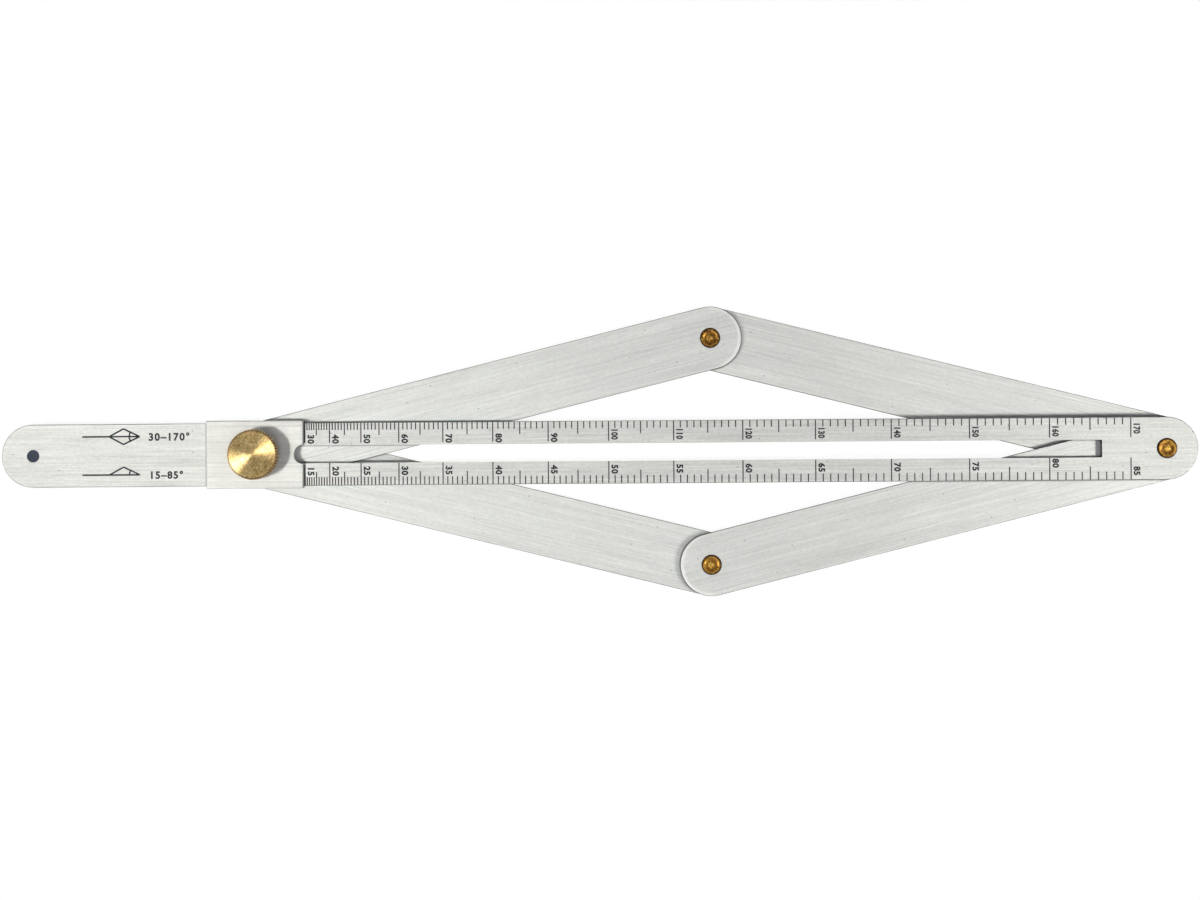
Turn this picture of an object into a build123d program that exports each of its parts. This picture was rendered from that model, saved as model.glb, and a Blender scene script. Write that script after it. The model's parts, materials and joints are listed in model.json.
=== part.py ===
from build123d import *
import os
from math import acos, cos, degrees, radians, sin

os.makedirs("parts", exist_ok=True)

# An angle finder with arms.  Four equal arms make a rhombus between a fixed pivot near the right end
# of a slotted rule and a slider that runs along that rule.  The slider's right edge reads the angle.
# X runs along the rule towards the end pivot, Y across it, Z up from the surface that it lies on.
# Lengths are millimetres and angles are degrees.

# ---------------------------------------------------------------------------------------------
# Driving sizes
# ---------------------------------------------------------------------------------------------
# The rule: flat bar with round ends, a hang hole, an end pivot and a long slot
rule_width = 25.0
rule_thickness = 2.0
rule_pivot_span = 450.0          # hang hole to end pivot, each at the centre of a round end
hang_hole_diameter = 5.0
slot_width = 7.0
slot_end_margin = 25.8           # end pivot to the slot's right end
slot_corner_radius = 0.4

# The arms: the same kind of flat bar, in two layers under the rule
arm_width = 25.0
arm_thickness = 2.0
arm_pitch = 186.5                # pivot to pivot
closed_angle = 28.0              # angle between the two gauge arms with the slider at the slot's left end

# The edges of every bar are dressed by hand to this radius
bar_edge_radius = 0.35

# The slider: a short inverted channel that straddles the rule
slider_length = 38.5
slider_top_thickness = 1.5
slider_wall_thickness = 0.9
slider_edge_radius = 0.6
slider_corner_radius = 0.5
notch_diameter = 7.6             # half-round notch in the reading edge, over the slot

# Rivets at the two elbows and at the end pivot
rivet_diameter = 5.0
rivet_head_diameter = 8.0
rivet_head_height = 0.5
rivet_head_bevel = 0.3
rivet_dish_diameter = 5.6        # shallow dish that the setting punch leaves in the head
rivet_dish_depth = 0.15
rivet_tail_diameter = 8.0
rivet_tail_bevel = 0.4
foot_height = 1.0                # rivet tails and the bush's flange stand this far under the arms

# Thin nylon washers between the sliding faces at every pivot
pivot_washer_diameter = 16.0
pivot_washer_thickness = 0.3

# The threaded bush: the slider's pivot for two arms, kept from turning by flats in the rule's slot
bush_diameter = 8.0
bush_flange_diameter = 12.0
bush_flange_bevel = 0.3
bush_recess = 0.3                # the bush ends this far under the rule's top face

# The thumb screw and its washer
thread_diameter = 5.0
thread_end_recess = 0.4          # the screw ends this far above the bush's underside
thread_end_bevel = 0.5
knob_diameter = 20.0
knob_height = 5.6
knob_bevel = 0.6
knurl_count = 52
knurl_width = 0.75
collar_diameter = 11.0
collar_height = 1.6
knob_washer_diameter = 13.0
knob_washer_thickness = 0.8

# Fits
running_clearance = 0.05         # radial, a pin or a screw that turns in a hole
swaged_clearance = 0.01          # radial, a rivet in the arm or rule that it is set in
slot_side_clearance = 0.1        # each side, the bush's flats in the slot
slot_stop_clearance = 0.2        # left between the bush and the slot's ends at the ends of travel
slider_side_clearance = 0.1      # each side, the slider's walls on the rule's edges
slider_top_clearance = 0.05      # the slider's top over the rule's face
screw_clearance = 0.15           # radial, the thumb screw in the slider's top
washer_clearance = 0.1           # radial, a washer on its pin

# ---------------------------------------------------------------------------------------------
# Places worked out from the sizes
# ---------------------------------------------------------------------------------------------
# Levels, from the surface up
lower_arm_z = foot_height
upper_arm_z = lower_arm_z + arm_thickness + pivot_washer_thickness
rule_z = upper_arm_z + arm_thickness + pivot_washer_thickness
upper_arm_top_z = upper_arm_z + arm_thickness
rule_top_z = rule_z + rule_thickness
slider_top_z = rule_top_z + slider_top_clearance
knob_washer_z = slider_top_z + slider_top_thickness
collar_z = knob_washer_z + knob_washer_thickness
knob_z = collar_z + collar_height
knob_top_z = knob_z + knob_height

# Pivots with the slider at the slot's left end
hang_hole_x = -rule_pivot_span / 2
end_pivot_x = rule_pivot_span / 2
half_angle = closed_angle / 2
elbow_x = end_pivot_x - arm_pitch * cos(radians(half_angle))
elbow_y = arm_pitch * sin(radians(half_angle))
slider_pivot_x = end_pivot_x - 2 * arm_pitch * cos(radians(half_angle))

# The slot lets the bush travel between its two stops
bush_reach = bush_diameter / 2 + slot_stop_clearance
slot_left_x = slider_pivot_x - bush_reach
slot_right_x = end_pivot_x - slot_end_margin
slot_length = slot_right_x - slot_left_x
open_half_angle = degrees(acos((slot_end_margin + bush_reach) / (2 * arm_pitch)))

# Holes
rivet_running_bore = rivet_diameter + 2 * running_clearance
rivet_set_bore = rivet_diameter + 2 * swaged_clearance
bush_running_bore = bush_diameter + 2 * running_clearance
bush_flats = slot_width - 2 * slot_side_clearance
thread_bore = thread_diameter + 2 * running_clearance

print("included angle at rest", closed_angle, "and with the slider at the right stop", 2 * open_half_angle)
print("swing of a gauge arm", open_half_angle - half_angle)
print("slider travel", 2 * arm_pitch * (cos(radians(half_angle)) - cos(radians(open_half_angle))))
print("slider pivot x", slider_pivot_x, "elbow", elbow_x, elbow_y, "end pivot x", end_pivot_x)
print("levels", lower_arm_z, upper_arm_z, rule_z, rule_top_z, slider_top_z, knob_washer_z, knob_top_z)
print("slot from", slot_left_x, "to", slot_right_x)

# ---------------------------------------------------------------------------------------------
# The rule
# ---------------------------------------------------------------------------------------------
with BuildPart() as scale_rule:
    with BuildSketch(Plane.XY.offset(rule_z)):
        SlotCenterToCenter(rule_pivot_span, rule_width)
    extrude(amount=rule_thickness)
    fillet(scale_rule.faces().filter_by(Axis.Z).edges(), bar_edge_radius)
    with BuildSketch(Plane((slot_left_x + slot_length / 2, 0, rule_z))):
        RectangleRounded(slot_length, slot_width, slot_corner_radius)
    extrude(amount=rule_thickness, mode=Mode.SUBTRACT)
    with Locations((hang_hole_x, 0, rule_top_z)):
        Hole(hang_hole_diameter / 2, rule_thickness)
    with Locations((end_pivot_x, 0, rule_top_z)):
        Hole(rivet_set_bore / 2, rule_thickness)
scale_rule.part.label = "scale_rule"
export_step(scale_rule.part, "parts/scale_rule.step")

# ---------------------------------------------------------------------------------------------
# The four arms.  A gauge arm turns on the end pivot and a link arm on the slider's bush.  One gauge
# arm and one link arm lie in each layer, so that arms of one layer never cross.
# ---------------------------------------------------------------------------------------------
end_pivot = (end_pivot_x, 0)
slider_pivot = (slider_pivot_x, 0)
upper_elbow = (elbow_x, elbow_y)
lower_elbow = (elbow_x, -elbow_y)
arm_places = {
    "upper_gauge_arm": (end_pivot, upper_elbow, lower_arm_z, rivet_running_bore, rivet_set_bore),
    "lower_gauge_arm": (end_pivot, lower_elbow, upper_arm_z, rivet_running_bore, rivet_set_bore),
    "upper_link_arm": (slider_pivot, upper_elbow, upper_arm_z, bush_running_bore, rivet_running_bore),
    "lower_link_arm": (slider_pivot, lower_elbow, lower_arm_z, bush_running_bore, rivet_running_bore),
}
for arm_name, (pivot, elbow, arm_z, pivot_bore, elbow_bore) in arm_places.items():
    middle = ((pivot[0] + elbow[0]) / 2, (pivot[1] + elbow[1]) / 2, arm_z)
    along = (elbow[0] - pivot[0], elbow[1] - pivot[1], 0)
    with BuildPart() as arm:
        with BuildSketch(Plane(origin=middle, x_dir=along, z_dir=(0, 0, 1))):
            SlotCenterToCenter(arm_pitch, arm_width)
        extrude(amount=arm_thickness)
        fillet(arm.faces().filter_by(Axis.Z).edges(), bar_edge_radius)
        with Locations((*pivot, arm_z + arm_thickness)):
            Hole(pivot_bore / 2, arm_thickness)
        with Locations((*elbow, arm_z + arm_thickness)):
            Hole(elbow_bore / 2, arm_thickness)
    arm.part.label = arm_name
    export_step(arm.part, f"parts/{arm_name}.step")

# ---------------------------------------------------------------------------------------------
# The rivets: a dished low head on top, a shank through the stack and a bevelled tail underneath
# ---------------------------------------------------------------------------------------------
rivet_places = {
    "upper_elbow_rivet": (*upper_elbow, upper_arm_top_z),
    "lower_elbow_rivet": (*lower_elbow, upper_arm_top_z),
    "end_pivot_rivet": (*end_pivot, rule_top_z),
}
head_radius = rivet_head_diameter / 2
tail_radius = rivet_tail_diameter / 2
punch_radius = ((rivet_dish_diameter / 2) ** 2 + rivet_dish_depth**2) / (2 * rivet_dish_depth)
for rivet_name, (rivet_x, rivet_y, head_z) in rivet_places.items():
    head_top_z = head_z + rivet_head_height
    with BuildPart() as rivet:
        with BuildSketch(Plane((rivet_x, rivet_y, 0), x_dir=(1, 0, 0), z_dir=(0, -1, 0))):
            with BuildLine():
                Polyline(
                    (0, 0),
                    (tail_radius - rivet_tail_bevel, 0),
                    (tail_radius, rivet_tail_bevel),
                    (tail_radius, foot_height),
                    (rivet_diameter / 2, foot_height),
                    (rivet_diameter / 2, head_z),
                    (head_radius, head_z),
                    (head_radius, head_top_z - rivet_head_bevel),
                    (head_radius - rivet_head_bevel, head_top_z),
                    (0, head_top_z),
                    (0, 0),
                )
            make_face()
        revolve(axis=Axis((rivet_x, rivet_y, 0), (0, 0, 1)))
        with Locations((rivet_x, rivet_y, head_top_z - rivet_dish_depth + punch_radius)):
            Sphere(punch_radius, rotation=(90, 0, 0), mode=Mode.SUBTRACT)
    rivet.part.label = rivet_name
    export_step(rivet.part, f"parts/{rivet_name}.step")

# ---------------------------------------------------------------------------------------------
# The thin washers: one between the arms at every pivot, and one more under the rule where it is above
# ---------------------------------------------------------------------------------------------
between_arms_z = lower_arm_z + arm_thickness
under_rule_z = upper_arm_top_z
washer_places = {
    "upper_elbow_washer": (*upper_elbow, between_arms_z, rivet_diameter),
    "lower_elbow_washer": (*lower_elbow, between_arms_z, rivet_diameter),
    "end_pivot_lower_washer": (*end_pivot, between_arms_z, rivet_diameter),
    "end_pivot_upper_washer": (*end_pivot, under_rule_z, rivet_diameter),
    "slider_pivot_lower_washer": (*slider_pivot, between_arms_z, bush_diameter),
    "slider_pivot_upper_washer": (*slider_pivot, under_rule_z, bush_diameter),
}
for washer_name, (washer_x, washer_y, washer_z, pin_diameter) in washer_places.items():
    with BuildPart() as pivot_washer:
        with BuildSketch(Plane((washer_x, washer_y, washer_z))):
            Circle(pivot_washer_diameter / 2)
            Circle(pin_diameter / 2 + washer_clearance, mode=Mode.SUBTRACT)
        extrude(amount=pivot_washer_thickness)
    pivot_washer.part.label = washer_name
    export_step(pivot_washer.part, f"parts/{washer_name}.step")

# ---------------------------------------------------------------------------------------------
# The slider: its walls hang beside the rule's edges and end level with the rule's underside
# ---------------------------------------------------------------------------------------------
slider_inner_width = rule_width + 2 * slider_side_clearance
slider_width = slider_inner_width + 2 * slider_wall_thickness
reading_edge_x = slider_pivot_x + slider_length / 2
with BuildPart() as slider:
    with BuildSketch(Plane((slider_pivot_x, 0, rule_z))):
        RectangleRounded(slider_length, slider_width, slider_corner_radius)
    extrude(amount=knob_washer_z - rule_z)
    fillet(slider.faces().sort_by(Axis.Z)[-1].edges(), slider_edge_radius)
    with BuildSketch(Plane((slider_pivot_x, 0, rule_z))):
        Rectangle(slider_length, slider_inner_width)
    extrude(amount=slider_top_z - rule_z, mode=Mode.SUBTRACT)
    with Locations((slider_pivot_x, 0, knob_washer_z)):
        Hole(thread_diameter / 2 + screw_clearance, slider_top_thickness)
    with Locations((reading_edge_x, 0, knob_washer_z)):
        Hole(notch_diameter / 2, slider_top_thickness)
slider.part.label = "slider"
export_step(slider.part, "parts/slider.step")

# ---------------------------------------------------------------------------------------------
# The threaded bush: a flange underneath, a round barrel for the two link arms and a flatted neck
# ---------------------------------------------------------------------------------------------
neck_z = rule_z - pivot_washer_thickness / 2
neck_top_z = rule_top_z - bush_recess
with BuildPart() as pivot_bush:
    with BuildSketch(Plane((slider_pivot_x, 0, 0))):
        Circle(bush_flange_diameter / 2)
    extrude(amount=foot_height)
    chamfer(pivot_bush.faces().sort_by(Axis.Z)[0].edges(), bush_flange_bevel)
    with BuildSketch(Plane((slider_pivot_x, 0, foot_height))):
        Circle(bush_diameter / 2)
    extrude(amount=neck_z - foot_height)
    with BuildSketch(Plane((slider_pivot_x, 0, neck_z))):
        Circle(bush_diameter / 2)
        Rectangle(bush_diameter, bush_flats, mode=Mode.INTERSECT)
    extrude(amount=neck_top_z - neck_z)
    with Locations((slider_pivot_x, 0, neck_top_z)):
        Hole(thread_bore / 2, neck_top_z)
pivot_bush.part.label = "pivot_bush"
export_step(pivot_bush.part, "parts/pivot_bush.step")

# ---------------------------------------------------------------------------------------------
# The washer under the knob
# ---------------------------------------------------------------------------------------------
with BuildPart() as knob_washer:
    with BuildSketch(Plane((slider_pivot_x, 0, knob_washer_z))):
        Circle(knob_washer_diameter / 2)
        Circle(thread_diameter / 2 + washer_clearance, mode=Mode.SUBTRACT)
    extrude(amount=knob_washer_thickness)
knob_washer.part.label = "knob_washer"
export_step(knob_washer.part, "parts/knob_washer.step")

# ---------------------------------------------------------------------------------------------
# The thumb screw: a knurled disc, a collar and a plain cylinder where the thread is
# ---------------------------------------------------------------------------------------------
thread_radius = thread_diameter / 2
knob_radius = knob_diameter / 2
with BuildPart() as thumb_screw:
    with BuildSketch(Plane((slider_pivot_x, 0, 0), x_dir=(1, 0, 0), z_dir=(0, -1, 0))):
        with BuildLine():
            Polyline(
                (0, thread_end_recess),
                (thread_radius - thread_end_bevel, thread_end_recess),
                (thread_radius, thread_end_recess + thread_end_bevel),
                (thread_radius, collar_z),
                (collar_diameter / 2, collar_z),
                (collar_diameter / 2, knob_z),
                (knob_radius - knob_bevel, knob_z),
                (knob_radius, knob_z + knob_bevel),
                (knob_radius, knob_top_z - knob_bevel),
                (knob_radius - knob_bevel, knob_top_z),
                (0, knob_top_z),
                (0, thread_end_recess),
            )
        make_face()
    revolve(axis=Axis((slider_pivot_x, 0, 0), (0, 0, 1)))
    with BuildSketch(Plane((slider_pivot_x, 0, knob_z))):
        with PolarLocations(knob_radius, knurl_count):
            Rectangle(knurl_width, knurl_width, rotation=45)
    extrude(amount=knob_height, mode=Mode.SUBTRACT)
thumb_screw.part.label = "thumb_screw"
export_step(thumb_screw.part, "parts/thumb_screw.step")
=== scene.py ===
# %% [markdown]
# # An angle finder with arms
# A joiner lays the two gauge arms of this tool into a corner and reads the corner's angle off the rule,
# at the right-hand edge of the slider.  Four equal bars make a rhombus, so half of that angle can be read
# too, which is the angle of the mitre.
# The parts come at their true size from a CAD assembly, and stay where it puts them.  This lesson gives
# them their surfaces: brushed bars, a printed scale, a turned and knurled knob, and rivets that a punch
# has set.

import json
import math

import bmesh
import bpy
from mathutils import Matrix, Vector

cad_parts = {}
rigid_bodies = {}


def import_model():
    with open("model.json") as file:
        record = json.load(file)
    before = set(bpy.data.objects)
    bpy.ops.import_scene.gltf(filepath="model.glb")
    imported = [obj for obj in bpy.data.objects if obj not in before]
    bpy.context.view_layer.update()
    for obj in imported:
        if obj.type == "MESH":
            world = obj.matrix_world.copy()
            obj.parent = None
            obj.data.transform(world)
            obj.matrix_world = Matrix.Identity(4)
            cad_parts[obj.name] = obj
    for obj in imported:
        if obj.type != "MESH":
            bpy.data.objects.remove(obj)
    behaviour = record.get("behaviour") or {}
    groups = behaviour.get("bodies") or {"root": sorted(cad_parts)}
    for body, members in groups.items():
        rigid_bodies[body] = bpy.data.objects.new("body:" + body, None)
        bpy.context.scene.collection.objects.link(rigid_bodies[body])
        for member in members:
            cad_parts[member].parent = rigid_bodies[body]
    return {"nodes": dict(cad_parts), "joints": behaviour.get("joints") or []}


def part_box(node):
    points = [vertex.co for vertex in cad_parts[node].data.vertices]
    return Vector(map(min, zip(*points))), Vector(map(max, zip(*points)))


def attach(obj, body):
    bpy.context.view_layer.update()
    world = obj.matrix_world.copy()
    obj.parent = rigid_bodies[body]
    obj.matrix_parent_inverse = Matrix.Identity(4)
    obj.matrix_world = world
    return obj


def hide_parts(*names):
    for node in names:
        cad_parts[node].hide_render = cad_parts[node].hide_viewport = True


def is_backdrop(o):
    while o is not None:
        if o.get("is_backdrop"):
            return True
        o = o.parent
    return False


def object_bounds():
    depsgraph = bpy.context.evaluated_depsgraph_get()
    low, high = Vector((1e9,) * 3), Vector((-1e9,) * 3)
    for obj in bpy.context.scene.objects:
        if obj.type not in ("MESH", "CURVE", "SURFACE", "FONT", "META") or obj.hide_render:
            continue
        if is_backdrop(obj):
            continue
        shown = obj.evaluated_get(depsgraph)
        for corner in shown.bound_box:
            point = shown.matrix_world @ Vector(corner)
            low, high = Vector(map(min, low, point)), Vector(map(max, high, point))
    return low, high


for leftover in list(bpy.data.objects):
    bpy.data.objects.remove(leftover)
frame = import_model()
cad_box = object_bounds()
nodes = frame["nodes"]

# %% [markdown]
# ## Places
# Nothing is measured twice: every pivot is read from the joints of the assembly, and every edge from the
# box round a part.  If the CAD changes, the printed scale and the finishes go with it.  Blender works in
# metres, so a size in millimetres is multiplied by `mm`.

# %% Places that the assembly gives
mm = 0.001
pivots = {joint["name"]: Vector(joint["pos_m"]) for joint in frame["joints"] if "pos_m" in joint}
end_pivot = pivots["gauge_opening"]
slider_pivot = pivots["slider_pivot"]
upper_elbow = pivots["upper_elbow"]
lower_elbow = pivots["lower_elbow"]
arm_pitch = (end_pivot - upper_elbow).xy.length
rule_low, rule_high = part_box("scale_rule")
rule_top = rule_high.z
slider_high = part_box("slider")[1]
print("arm pitch", round(arm_pitch / mm, 2), "mm, rule", round((rule_high.x - rule_low.x) / mm, 2), "mm long")

# %% [markdown]
# ## Wires and trees
# A material or a Geometry Nodes modifier is a tree of nodes.  Built by hand in a script, such a tree soon
# hides the sum that it works out.  So one small class wraps an output socket and lets Python's own signs
# add the Math nodes, and a second one adds any other node in a single call: its kind, its settings, and
# what goes into its inputs.


# %% A wire: one output socket that can be reckoned with
def method_for(operation, reflected=False):
    """A method for one of Python's signs.  The reflected one serves when the wire stands on the right."""

    def method(wire, value):
        return wire.tree.maths(operation, value, wire) if reflected else wire.of(operation, value)

    return method


class Wire:
    """One output socket.  Sums on wires add Math nodes, or Vector Math nodes where a vector takes part."""

    def __init__(self, tree, socket):
        self.tree = tree
        self.socket = socket

    def out(self, name):
        """Another output of the same node."""
        return Wire(self.tree, self.socket.node.outputs[name])

    @property
    def is_vector(self):
        return self.socket.type == "VECTOR"

    def of(self, operation, *others):
        """One operation on this value, and on others where it takes more than one."""
        return self.tree.maths(operation, self, *others)

    __add__ = method_for("ADD")
    __radd__ = method_for("ADD", reflected=True)
    __sub__ = method_for("SUBTRACT")
    __rsub__ = method_for("SUBTRACT", reflected=True)
    __mul__ = method_for("MULTIPLY")
    __rmul__ = method_for("MULTIPLY", reflected=True)
    __truediv__ = method_for("DIVIDE")
    __mod__ = method_for("MODULO")
    __rpow__ = method_for("POWER", reflected=True)
    __lt__ = method_for("LESS_THAN")
    __gt__ = method_for("GREATER_THAN")


# %% A tree: adds any node in one call
class Tree:
    """A node tree, and the one call that adds a node to it."""

    def __init__(self, node_tree):
        self.nodes = node_tree.nodes
        self.links = node_tree.links

    def node(self, kind, settings=None, inputs=None):
        """A new node.  Its settings come first, because they decide which inputs it has.  An input goes by
        its name, or by its number among the inputs in use."""
        made = self.nodes.new(kind)
        for name, value in (settings or {}).items():
            if name == "stops":
                set_stops(made.color_ramp.elements, value)
            else:
                setattr(made, name, value)
        in_use = [socket for socket in made.inputs if socket.enabled]
        for key, value in (inputs or {}).items():
            socket = in_use[key] if isinstance(key, int) else next(s for s in in_use if s.name == key)
            self.feed(socket, value)
        given = [socket for socket in made.outputs if socket.enabled]
        return Wire(self, given[0]) if given else made

    def maths(self, operation, *values):
        """The node for one operation on these values, which are numbers, tuples or wires."""
        vectors = [v for v in values if isinstance(v, tuple) or getattr(v, "is_vector", False)]
        kind = "ShaderNodeVectorMath" if vectors else "ShaderNodeMath"
        return self.node(kind, {"operation": operation}, dict(enumerate(values)))

    def feed(self, socket, value):
        """Links a wire to a socket, or sets the socket's value."""
        if isinstance(value, Wire):
            self.links.new(value.socket, socket)
        elif socket.type == "VECTOR" and isinstance(value, (int, float)):
            socket.default_value = (value, value, value)
        elif socket.type == "RGBA":
            socket.default_value = (*value, 1.0)
        else:
            socket.default_value = value


def set_stops(elements, stops):
    """A colour ramp's stops, as (position, colour) in rising order."""
    while len(elements) < len(stops):
        elements.new(1.0)
    for element, (position, colour) in zip(elements, stops):
        element.position = position
        element.color = (*colour, 1.0)


print("wires and trees are ready")

# %% [markdown]
# ## Helpers for finishes
# Every finish here is drawn in the part's own coordinates, in millimetres from a chosen centre, with X
# turned along the bar or the rule.  A Mapping node of the Texture kind does that.  The helpers below are
# the few patterns that metal needs: noise drawn out to streaks, a soft threshold, scratches, and small
# round specks.


# %% Helpers that every material uses
def new_material(name):
    """An empty material and its tree."""
    material = bpy.data.materials.new(name)
    material.use_nodes = True
    material.node_tree.nodes.clear()
    return material, Tree(material.node_tree)


def place_in(tree, centre, turn=0.0):
    """The part's own coordinates in millimetres from a centre, with X turned by an angle."""
    coordinates = tree.node("ShaderNodeTexCoord").out("Object")
    inputs = {
        "Vector": coordinates,
        "Location": tuple(centre),
        "Rotation": (0, 0, turn),
        "Scale": (mm, mm, mm),
    }
    return tree.node("ShaderNodeMapping", {"vector_type": "TEXTURE"}, inputs)


def noise(tree, place, length, width, detail=2.0):
    """Noise from 0 to 1 whose spots are about that long in X and that wide in Y and Z."""
    stretched = place * (1 / length, 1 / width, 1 / width)
    return tree.node("ShaderNodeTexNoise", {}, {"Vector": stretched, "Scale": 1.0, "Detail": detail})


def soft_step(tree, value, low, high):
    """0 below low, 1 above high, and smooth between."""
    settings = {"interpolation_type": "SMOOTHSTEP"}
    return tree.node("ShaderNodeMapRange", settings, {"Value": value, "From Min": low, "From Max": high})


def mix_colours(tree, share, first, second):
    """The first colour at share 0, the second at share 1."""
    settings = {"data_type": "RGBA", "clamp_factor": True}
    return tree.node("ShaderNodeMix", settings, {"Factor": share, "A": first, "B": second})


def lay_on(tree, surface, layers):
    """Mixes layers over a surface in order, each of them a share and a shade."""
    for share, shade in layers:
        surface = mix_colours(tree, share, surface, shade)
    return surface


def scratches(tree, place, angle, length, width, share):
    """Short straight marks at one angle.  A lower share leaves fewer of them."""
    inputs = {"Vector": place, "Location": (7 * length, 3 * length, 0), "Rotation": (0, 0, angle)}
    turned = tree.node("ShaderNodeMapping", {"vector_type": "TEXTURE"}, inputs)
    return soft_step(tree, noise(tree, turned, length, width, detail=0.0), 0.88 - share, 0.94 - share)


def specks(tree, place, spacing, radius, share):
    """Round dots, one to a cell at most, on that share of the cells."""
    settings = {"voronoi_dimensions": "2D"}
    dots = tree.node("ShaderNodeTexVoronoi", settings, {"Vector": place, "Scale": 1 / spacing})
    chosen = tree.node("ShaderNodeSeparateColor", {}, {"Color": dots.out("Color")}) < share
    return chosen * (1 - soft_step(tree, dots * spacing, 0.6 * radius, radius))


def shaded(colour, factor):
    """A colour made darker or lighter."""
    return tuple(min(1.0, part * factor) for part in colour)


def rays(tree):
    """Two wires: 1 for rays from the camera, and 1 for rays that metal mirrors or glass lets through."""
    path = tree.node("ShaderNodeLightPath")
    mirrored = path.out("Is Glossy Ray").of("MAXIMUM", path.out("Is Transmission Ray"))
    return path.out("Is Camera Ray"), mirrored


def finish_with(tree, inputs):
    """Ends a material in one Principled shader, with these inputs."""
    shader = tree.node("ShaderNodeBsdfPrincipled", {}, inputs)
    tree.node("ShaderNodeOutputMaterial", {}, {"Surface": shader})


# %% [markdown]
# ## Brushed aluminium
# The bars are cut from flat stock that has been brushed lengthwise and anodised clear.  Close to, that is
# thousands of fine lines, some a shade lighter, over broader bands and faint clouds.  The lines are noise
# that is stretched about forty times along the bar, so they also turn with each arm.  A low bump tilts the
# surface across the lines, which spreads the light the way brushing does.  Arms get scratches and small
# dents from use, the slider is finer and paler, so the function takes those amounts as sizes.
#
# The rounded edges were dressed by hand after the brushing and are duller, and they are painted darker as
# painted shade.  They are found by the surface's own direction: wherever it no longer looks straight up or
# down.  The arms' round ends were punched, which rolls the face over just inside the edge: the bump lets it
# fall away there, and a painted highlight makes it paler.
# Where a bar crosses another, the corner between them is painted dark, a thin line of painted shade.  The
# Ambient Occlusion node finds such corners, since little of the sky is open there.
#
# All this is laid on in order, as paint would be: each layer is a share and a shade, and a loop mixes it
# over what is there.


# %% The brushed aluminium of bars and slider
# The colour of the painted shade in the corners between bars.
crevice_shade_colour = (0.05, 0.06, 0.08)


def edge_share(tree, low, high):
    """1 on rounded edges and side walls, 0 where the surface looks straight up or down."""
    normal = tree.node("ShaderNodeNewGeometry").out("Normal")
    upright = tree.node("ShaderNodeSeparateXYZ", {}, {"Vector": normal}).out("Z")
    return 1 - soft_step(tree, upright.of("ABSOLUTE"), low, high)


def rolled_ends(tree, place, ends, half_width, roll):
    """How far the face has rolled over, from 0 to 1, just inside a bar's two round ends, which is also where
    a highlight is painted.
    """
    parts = tree.node("ShaderNodeSeparateXYZ", {}, {"Vector": place})
    inputs = {"Value": parts, "Min": ends[0] / mm, "Max": ends[1] / mm}
    past_end = parts - tree.node("ShaderNodeClamp", {}, inputs)
    away = tree.node("ShaderNodeCombineXYZ", {}, {"X": past_end, "Y": parts.out("Y")})
    inside_end = soft_step(tree, past_end.of("ABSOLUTE"), 0.2, 4.0)
    edge_radius = half_width / mm
    return soft_step(tree, away.of("LENGTH"), edge_radius - roll, edge_radius - 0.4) * inside_end


def crevices(tree, reach):
    """Where shade is painted: 1 in the corners where one bar lies on another, 0 further off than the reach.
    """
    open_sky = tree.node("ShaderNodeAmbientOcclusion", {"samples": 12}, {"Distance": reach}).out("AO")
    return 1 - soft_step(tree, open_sky, 0.45, 0.85)


def brushed_aluminium(name, colour, centre, contrast, wear, edge_shade, turn=0.0, ends=(-1.0, 1.0)):
    """Aluminium brushed along X after the turn.  The ends are the centres of punched round ends, along X,
    which lie far outside a piece that has none."""
    material, tree = new_material(name)
    place = place_in(tree, centre, turn)
    grain = noise(tree, place, length=1.6, width=0.9, detail=3.0)
    fine = noise(tree, place, length=12, width=0.35, detail=3.0)
    lines = noise(tree, place, length=35, width=0.8)
    bands = noise(tree, place, length=120, width=3.2)
    clouds = noise(tree, place, length=30, width=7)
    weights = ((grain, 1.2), (fine, 1.4), (lines, 1.3), (bands, 1.1), (clouds, 0.7))
    uneven = sum((pattern - 0.5) * weight for pattern, weight in weights)
    along = scratches(tree, place, angle=0.3, length=4.0, width=0.08, share=wear)
    across = scratches(tree, place, angle=-0.9, length=2.2, width=0.07, share=wear)
    drawn = scratches(tree, place, angle=0.0, length=70, width=0.3, share=0.24)
    dents = specks(tree, place, spacing=9, radius=0.32, share=3 * wear)
    dots = specks(tree, place, spacing=4.3, radius=0.16, share=3 * wear)
    edge = edge_share(tree, low=0.86, high=0.985)
    rolled = rolled_ends(tree, place, ends, rule_high.y, roll=2.0)
    surface = mix_colours(tree, 0.5 + uneven * contrast, shaded(colour, 0.82), shaded(colour, 1.14))
    layers = [
        (drawn * 0.4, shaded(colour, 0.7)),
        (along * 0.45, shaded(colour, 1.25)),
        (across * 0.45, shaded(colour, 0.7)),
        ((dents + dots) * 0.8, shaded(colour, 0.3)),
        # A painted highlight just inside the punched round ends.
        (rolled * 0.6, shaded(colour, 1.35)),
        # Painted shade on the rounded edges and side walls.
        (edge, shaded(colour, edge_shade)),
        # Painted shade in the corners where one bar lies on another.
        (crevices(tree, reach=1.2 * mm) * 0.9, crevice_shade_colour),
    ]
    surface = lay_on(tree, surface, layers)
    height = (fine * 0.6 + lines * 0.6 + bands - along * 0.4 - dents * 2.0) * 0.01 - rolled * 0.3
    bump = tree.node("ShaderNodeBump", {}, {"Strength": 0.5, "Distance": mm, "Height": height})
    inputs = {
        "Base Color": surface,
        "Metallic": 0.25,
        "Roughness": 0.56 + (lines - 0.5) * 0.16 - along * 0.1 + edge * 0.1,
        "Normal": bump,
    }
    finish_with(tree, inputs)
    return material


def dress(node, material):
    """Gives a CAD part its finish."""
    for slot in nodes[node].material_slots:
        slot.material = material


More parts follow.
